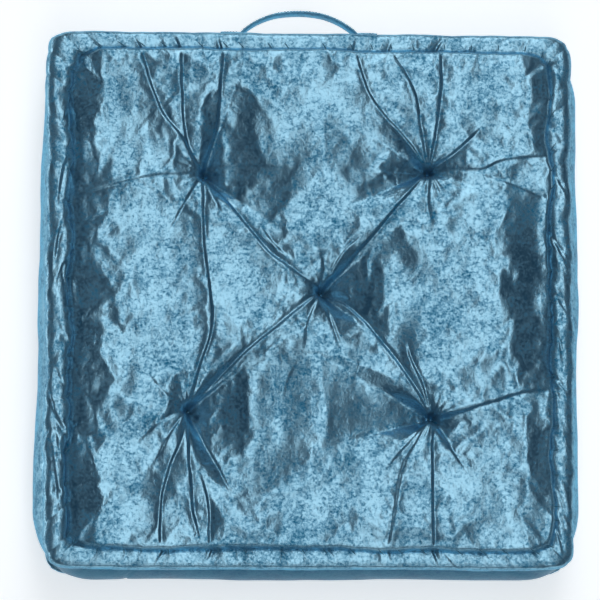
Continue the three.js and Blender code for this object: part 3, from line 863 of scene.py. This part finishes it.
END_LOW, END_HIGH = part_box("handle_end_left")[0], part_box("handle_end_right")[1]
LOOP_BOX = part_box("handle_loop")
BAND_MIDDLE = (END_LOW.x + END_HIGH.x) / 2
BAND_HALF = (END_HIGH.x - END_LOW.x) / 2
BAND_TAB = 22 * MM  # the length of a sewn end
BAND_T = 2.8 * MM
BAND_W = END_HIGH.z - END_LOW.z
BAND_Y = END_LOW.y - 1 * MM  # pressed into the wall
BAND_Z = (END_HIGH.z + END_LOW.z) / 2
BAND_RISE = LOOP_BOX[1].y - END_LOW.y + 2 * MM
ROW_OFFSET = 8.6 * MM  # from the band's middle to a sewn row


def band_line(x):
    """How far the band's middle line stands off at x. At its ends that is 0."""
    share = np.clip(np.abs(x) / (BAND_HALF - BAND_TAB), 0, 1)
    return BAND_RISE * (1 - share**2.2) ** 0.9


def band_surface(material):
    """A folded band with rounded edges and two sewn rows, as a closed tube with closed ends."""
    stations, around_it = 150, 36
    x = np.linspace(-BAND_HALF, BAND_HALF, stations)
    y = band_line(x)
    slope = np.gradient(y, x)
    lean = np.hypot(1, slope)
    turn = np.linspace(0, 2 * math.pi, around_it, endpoint=False)
    across = np.sign(np.cos(turn)) * np.abs(np.cos(turn)) ** 0.5 * BAND_W / 2
    thick = np.sign(np.sin(turn)) * np.abs(np.sin(turn)) ** 0.5 * BAND_T / 2
    sewn = np.exp(-(((np.abs(across) - ROW_OFFSET) / (1.1 * MM)) ** 2))
    thick = thick * (1 - 0.35 * sewn) * (1 + 0.12 * np.cos(across / BAND_W * 2 * math.pi))
    end = np.minimum(np.arange(stations), np.arange(stations)[::-1])
    close = np.where(end == 0, 0.55, np.where(end == 1, 0.9, 1.0))
    ripple = 0.25 * MM * noise(x, 0 * x, 9 * MM, 71)
    px = x[:, None] - slope[:, None] / lean[:, None] * thick[None] * close[:, None]
    py = y[:, None] + thick[None] / lean[:, None] * close[:, None] + ripple[:, None]
    pz = across[None] * (1 - 0.03 * (1 - close[:, None])) + 0 * px
    points = np.stack([px + BAND_MIDDLE, py + BAND_Y, pz + BAND_Z], axis=2).reshape(-1, 3)
    return mesh_object("handle_band", points, tube_quads(stations, around_it), material)


def band_point(x, z, proud):
    """A point on the band's outer face."""
    return (x + BAND_MIDDLE, BAND_Y + band_line(x) + BAND_T / 2 + proud, BAND_Z + z)


def dashes(start, end, pitch=3.4 * MM):
    """Stitches from start to end, both (x, z) on the band's outer face."""
    (ax, az), (bx, bz) = start, end
    count = max(1, round(math.hypot(bx - ax, bz - az) / pitch))
    found = []
    for k in range(count):
        low, high = (k + 0.14) / count, (k + 0.86) / count
        a = band_point(ax + (bx - ax) * low, az + (bz - az) * low, -0.2 * MM)
        b = band_point(ax + (bx - ax) * high, az + (bz - az) * high, -0.2 * MM)
        found.append(strand(bowed(a, b, (0, 0.35 * MM, 0)), 0.4 * MM))
    return found


def band_stitching(material):
    """The rows of stitches along both edges of the band's free part."""
    rows = []
    for z in (-ROW_OFFSET, ROW_OFFSET):
        rows += dashes((-BAND_HALF + BAND_TAB + 2 * MM, z), (BAND_HALF - BAND_TAB - 2 * MM, z))
    return threads_object("handle_edge_stitching", rows, material)


def tab_stitching(where, sign, material):
    """A sewn square with a cross in it, on one end of the band."""
    inner, outer, high = sign * (BAND_HALF - 19 * MM), sign * (BAND_HALF - 3 * MM), 8 * MM
    corners = [(inner, -high), (outer, -high), (outer, high), (inner, high)]
    rows = []
    for a, b in zip(corners, corners[1:] + corners[:1]):
        rows += dashes(a, b)
    rows += dashes(corners[0], corners[2]) + dashes(corners[1], corners[3])
    return threads_object(f"handle_tab_stitching_{where}", rows, material)


# ---- materials ----


def node_of(tree, kind, **values):
    """A new node of that kind, with its settings and inputs set by name."""
    node = tree.nodes.new(kind)
    for name, value in values.items():
        if hasattr(node, name):
            setattr(node, name, value)
        else:
            node.inputs[name.replace("_", " ")].default_value = value
    return node


def new_material(name):
    """A material with its node tree and its shader."""
    material = bpy.data.materials.new(name)
    material.use_nodes = True
    return material, material.node_tree, material.node_tree.nodes["Principled BSDF"]


def add_colour(tree, shader, share, low, high):
    """Colours the shader from low to high by the share."""
    colour = node_of(tree, "ShaderNodeMix", data_type="RGBA")
    colour.inputs[6].default_value = (*low, 1)
    colour.inputs[7].default_value = (*high, 1)
    tree.links.new(share, colour.inputs[0])
    tree.links.new(colour.outputs[2], shader.inputs["Base Color"])


def add_bump(tree, shader, height, strength, depth):
    """Lets the shader's surface follow the height."""
    bump = node_of(tree, "ShaderNodeBump", Strength=strength, Distance=depth)
    tree.links.new(height, bump.inputs["Height"])
    tree.links.new(bump.outputs["Normal"], shader.inputs["Normal"])


def velvet(name, dark, light, metal):
    """Crushed pile: flecks where it lies flat and shines, and darker cloth between them."""
    material, tree, shader = new_material(name)
    place = node_of(tree, "ShaderNodeTexCoord")
    fleck = node_of(tree, "ShaderNodeTexNoise", Scale=330, Detail=2, Roughness=0.65, Distortion=0.5)
    blotch = node_of(tree, "ShaderNodeTexNoise", Scale=85, Detail=3, Roughness=0.6, Distortion=0.6)
    patch = node_of(tree, "ShaderNodeTexNoise", Scale=20, Detail=3, Roughness=0.55, Distortion=0.4)
    for source in (fleck, blotch, patch):
        tree.links.new(place.outputs["Object"], source.inputs["Vector"])

    def mixed(share, a, b):
        mix = node_of(tree, "ShaderNodeMix", data_type="FLOAT")
        mix.inputs[0].default_value = share
        tree.links.new(a, mix.inputs[2])
        tree.links.new(b, mix.inputs[3])
        return mix.outputs[0]

    def ranged(source, low, high, start=0.0, end=1.0, kind="LINEAR"):
        span = node_of(tree, "ShaderNodeMapRange", interpolation_type=kind)
        for key, value in zip(("From Min", "From Max", "To Min", "To Max"), (start, end, low, high)):
            span.inputs[key].default_value = value
        tree.links.new(source, span.inputs["Value"])
        return span.outputs["Result"]

    pile = mixed(0.4, fleck.outputs["Fac"], blotch.outputs["Fac"])
    lie = mixed(0.25, pile, patch.outputs["Fac"])
    shine = ranged(lie, 0, 1, 0.32, 0.58, "SMOOTHSTEP")
    add_colour(tree, shader, shine, dark, light)
    tree.links.new(ranged(shine, 0, metal), shader.inputs["Metallic"])
    tree.links.new(ranged(shine, 0.37, 0.3), shader.inputs["Roughness"])
    add_bump(tree, shader, pile, 1.0, 0.6 * MM)
    shader.inputs["IOR"].default_value = 1.6
    shader.inputs["Specular Tint"].default_value = (0.3, 0.75, 1.0, 1)
    return material


def thread_material(name, colour):
    """Twisted thread: a dark spiral shade along each strand."""
    material, tree, shader = new_material(name)
    place = node_of(tree, "ShaderNodeTexCoord")
    twist = node_of(tree, "ShaderNodeTexWave", Scale=420, Distortion=1.5, Detail=1)
    tree.links.new(place.outputs["Object"], twist.inputs["Vector"])
    add_colour(tree, shader, twist.outputs["Fac"], [0.6 * c for c in colour], colour)
    add_bump(tree, shader, twist.outputs["Fac"], 0.5, 0.2 * MM)
    shader.inputs["Roughness"].default_value = 0.6
    return material


# ---- the set ----


def floor_material():
    material, _, shader = new_material("floor")
    shader.inputs["Base Color"].default_value = (0.92, 0.92, 0.92, 1)
    shader.inputs["Emission Color"].default_value = (1, 1, 1, 1)
    shader.inputs["Emission Strength"].default_value = 0.52
    shader.inputs["Roughness"].default_value = 0.9
    return material


def add_floor():
    size = 30
    corners = [(-size, -size, 0), (size, -size, 0), (size, size, 0), (-size, size, 0)]
    floor = mesh_object("floor", corners, [(0, 1, 2, 3)], floor_material())
    floor.location.z = -0.3 * MM


def add_light(name, location, aim, size, power):
    """A rectangular light at location, turned to aim."""
    light = bpy.data.lights.new(name, "AREA")
    light.shape = "RECTANGLE"
    light.size, light.size_y = size
    light.energy = power
    obj = bpy.data.objects.new(name, light)
    bpy.context.collection.objects.link(obj)
    obj.location = location
    obj.rotation_euler = (Vector(aim) - Vector(location)).to_track_quat("-Z", "Y").to_euler()


def add_lights():
    add_light("overhead_strip", (0.4, 0.9, 6), (0.4, 0.9, 0), (1.9, 8), 60)
    add_light("overhead_spill", (0.4, 0.9, 5.9), (0.4, 0.9, 0), (3.7, 8), 90)
    add_light("back_softbox", (0.4, 4.6, 3.4), (0, 0, 0), (2.6, 3), 58)
    add_light("front_softbox", (0.2, -4.6, 4.1), (0, 0, 0), (2.4, 2.4), 34)
    add_light("left_card", (-3.2, 0.1, 0.25), (-0.3, 0, 0.05), (3.0, 0.4), 16)
    world = bpy.data.worlds.new("studio")
    world.use_nodes = True
    background = world.node_tree.nodes["Background"]
    background.inputs["Color"].default_value = (0.08, 0.55, 1.0, 1)
    background.inputs["Strength"].default_value = 0.075
    bpy.context.scene.world = world


CAMERA_DISTANCE = 4.0


def add_camera():
    """The camera looks from nearly overhead, a little from the left and the front."""
    back = Vector((-0.049, -0.148, 1)).normalized()
    right = Vector((0, 1, 0)).cross(back).normalized()
    target = Vector((CENTRE[0] - 8.4 * MM, CENTRE[1] + 4.8 * MM, 55 * MM))
    camera = bpy.data.cameras.new("camera")
    camera.lens = 220.5
    camera.sensor_width = 36
    obj = bpy.data.objects.new("camera", camera)
    bpy.context.collection.objects.link(obj)
    obj.location = target + back * CAMERA_DISTANCE
    obj.rotation_euler = Matrix((right, back.cross(right), back)).transposed().to_euler()
    bpy.context.scene.camera = obj


# ---- the cushion ----


def add_piece(obj, replaces=()):
    """Fixes a piece to the cushion and hides the parts of the frame that it replaces."""
    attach(obj, "cushion")
    if replaces:
        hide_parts(*replaces)


ROLL_LIFT = 0.4 * MM  # how much further up or down than the seam a roll's middle lies


def add_cover():
    """Adds the cloth and returns its material."""
    cloth = velvet("crushed_velvet", (0.001, 0.14, 0.27), (0.255, 0.46, 0.58), 0.95)
    # painted shade: the front wall gets a darker, less shiny copy of the same velvet, standing in for the
    # shade that lies on that wall
    shaded_front_cloth = velvet("shaded_front_velvet", (0.001, 0.1, 0.21), (0.05, 0.17, 0.26), 0.35)
    add_piece(top_face(cloth), ["top_panel", "fibre_filling"])
    creases = roll_creases(TOP_STITCHES, 41) + fold_creases()
    roll = roll_surface("top_roll_cover", TOP_SEAM_Z + ROLL_LIFT, TOP_STITCHES, creases, cloth)
    add_piece(roll, ["top_roll_stuffing"])
    creases, low = roll_creases(FLOOR_STITCHES, 42), FLOOR_SEAM_Z - ROLL_LIFT
    roll = roll_surface("bottom_roll_cover", low, FLOOR_STITCHES, creases, cloth, floor=True)
    add_piece(roll, ["bottom_roll_stuffing"])
    add_piece(bottom_face(cloth), ["bottom_panel"])
    for side, where in enumerate(SIDES):
        # the front wall takes the darker copy of the velvet, which is painted shade
        wall = wall_surface(side, shaded_front_cloth if where == "front" else cloth)
        add_piece(wall, [f"wall_panel_{where}"])
    return cloth


PIT_Z, CENTRE_PIT_Z = 75 * MM, 77 * MM  # how high the twine lies in a tuft of the sitting face
FLOOR_PIT_Z = 16 * MM


def add_threads():
    """Adds all thread but the handle's, and returns the material of sewing thread."""
    thread = thread_material("sewing_thread", (0.05, 0.2, 0.3))
    twine = thread_material("tufting_twine", (0.02, 0.09, 0.14))
    top = groove_stitches("top_roll_stitches", TOP_STITCHES, GROOVE_Z + 1 * MM, 1, thread)
    add_piece(top, ["top_roll_stitching"])
    floor = groove_stitches("bottom_roll_stitches", FLOOR_STITCHES, FLOOR_GROOVE_Z, -1, thread)
    add_piece(floor, ["bottom_roll_stitching"])
    for name, at in TUFTS.items():
        pit = CENTRE_PIT_Z if name == "centre" else PIT_Z
        stitch = tuft_stitches(f"tuft_stitch_{name}", at, pit, 1, twine)
        add_piece(stitch, [f"tuft_twine_{name}"])
        add_piece(tuft_stitches(f"tuft_stitch_under_{name}", at, FLOOR_PIT_Z, -1, twine))
    return thread


def add_handle(cloth, thread):
    """Adds the band, which bends from its sewn ends out into a loop, and its stitches."""
    band = band_surface(cloth)
    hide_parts("handle_loop", "handle_end_left", "handle_end_right")
    rows = band_stitching(thread)
    for piece, slot in ((band, "band"), (rows, "thread")):
        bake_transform(piece)
    for where, sign in (("left", -1), ("right", 1)):
        add_piece(tab_stitching(where, sign, thread), [f"handle_stitching_{where}"])


bpy.context.scene.view_settings.view_transform = "Standard"
add_camera()
add_lights()
add_floor()
velvet_cloth = add_cover()
sewing_thread = add_threads()
add_handle(velvet_cloth, sewing_thread)
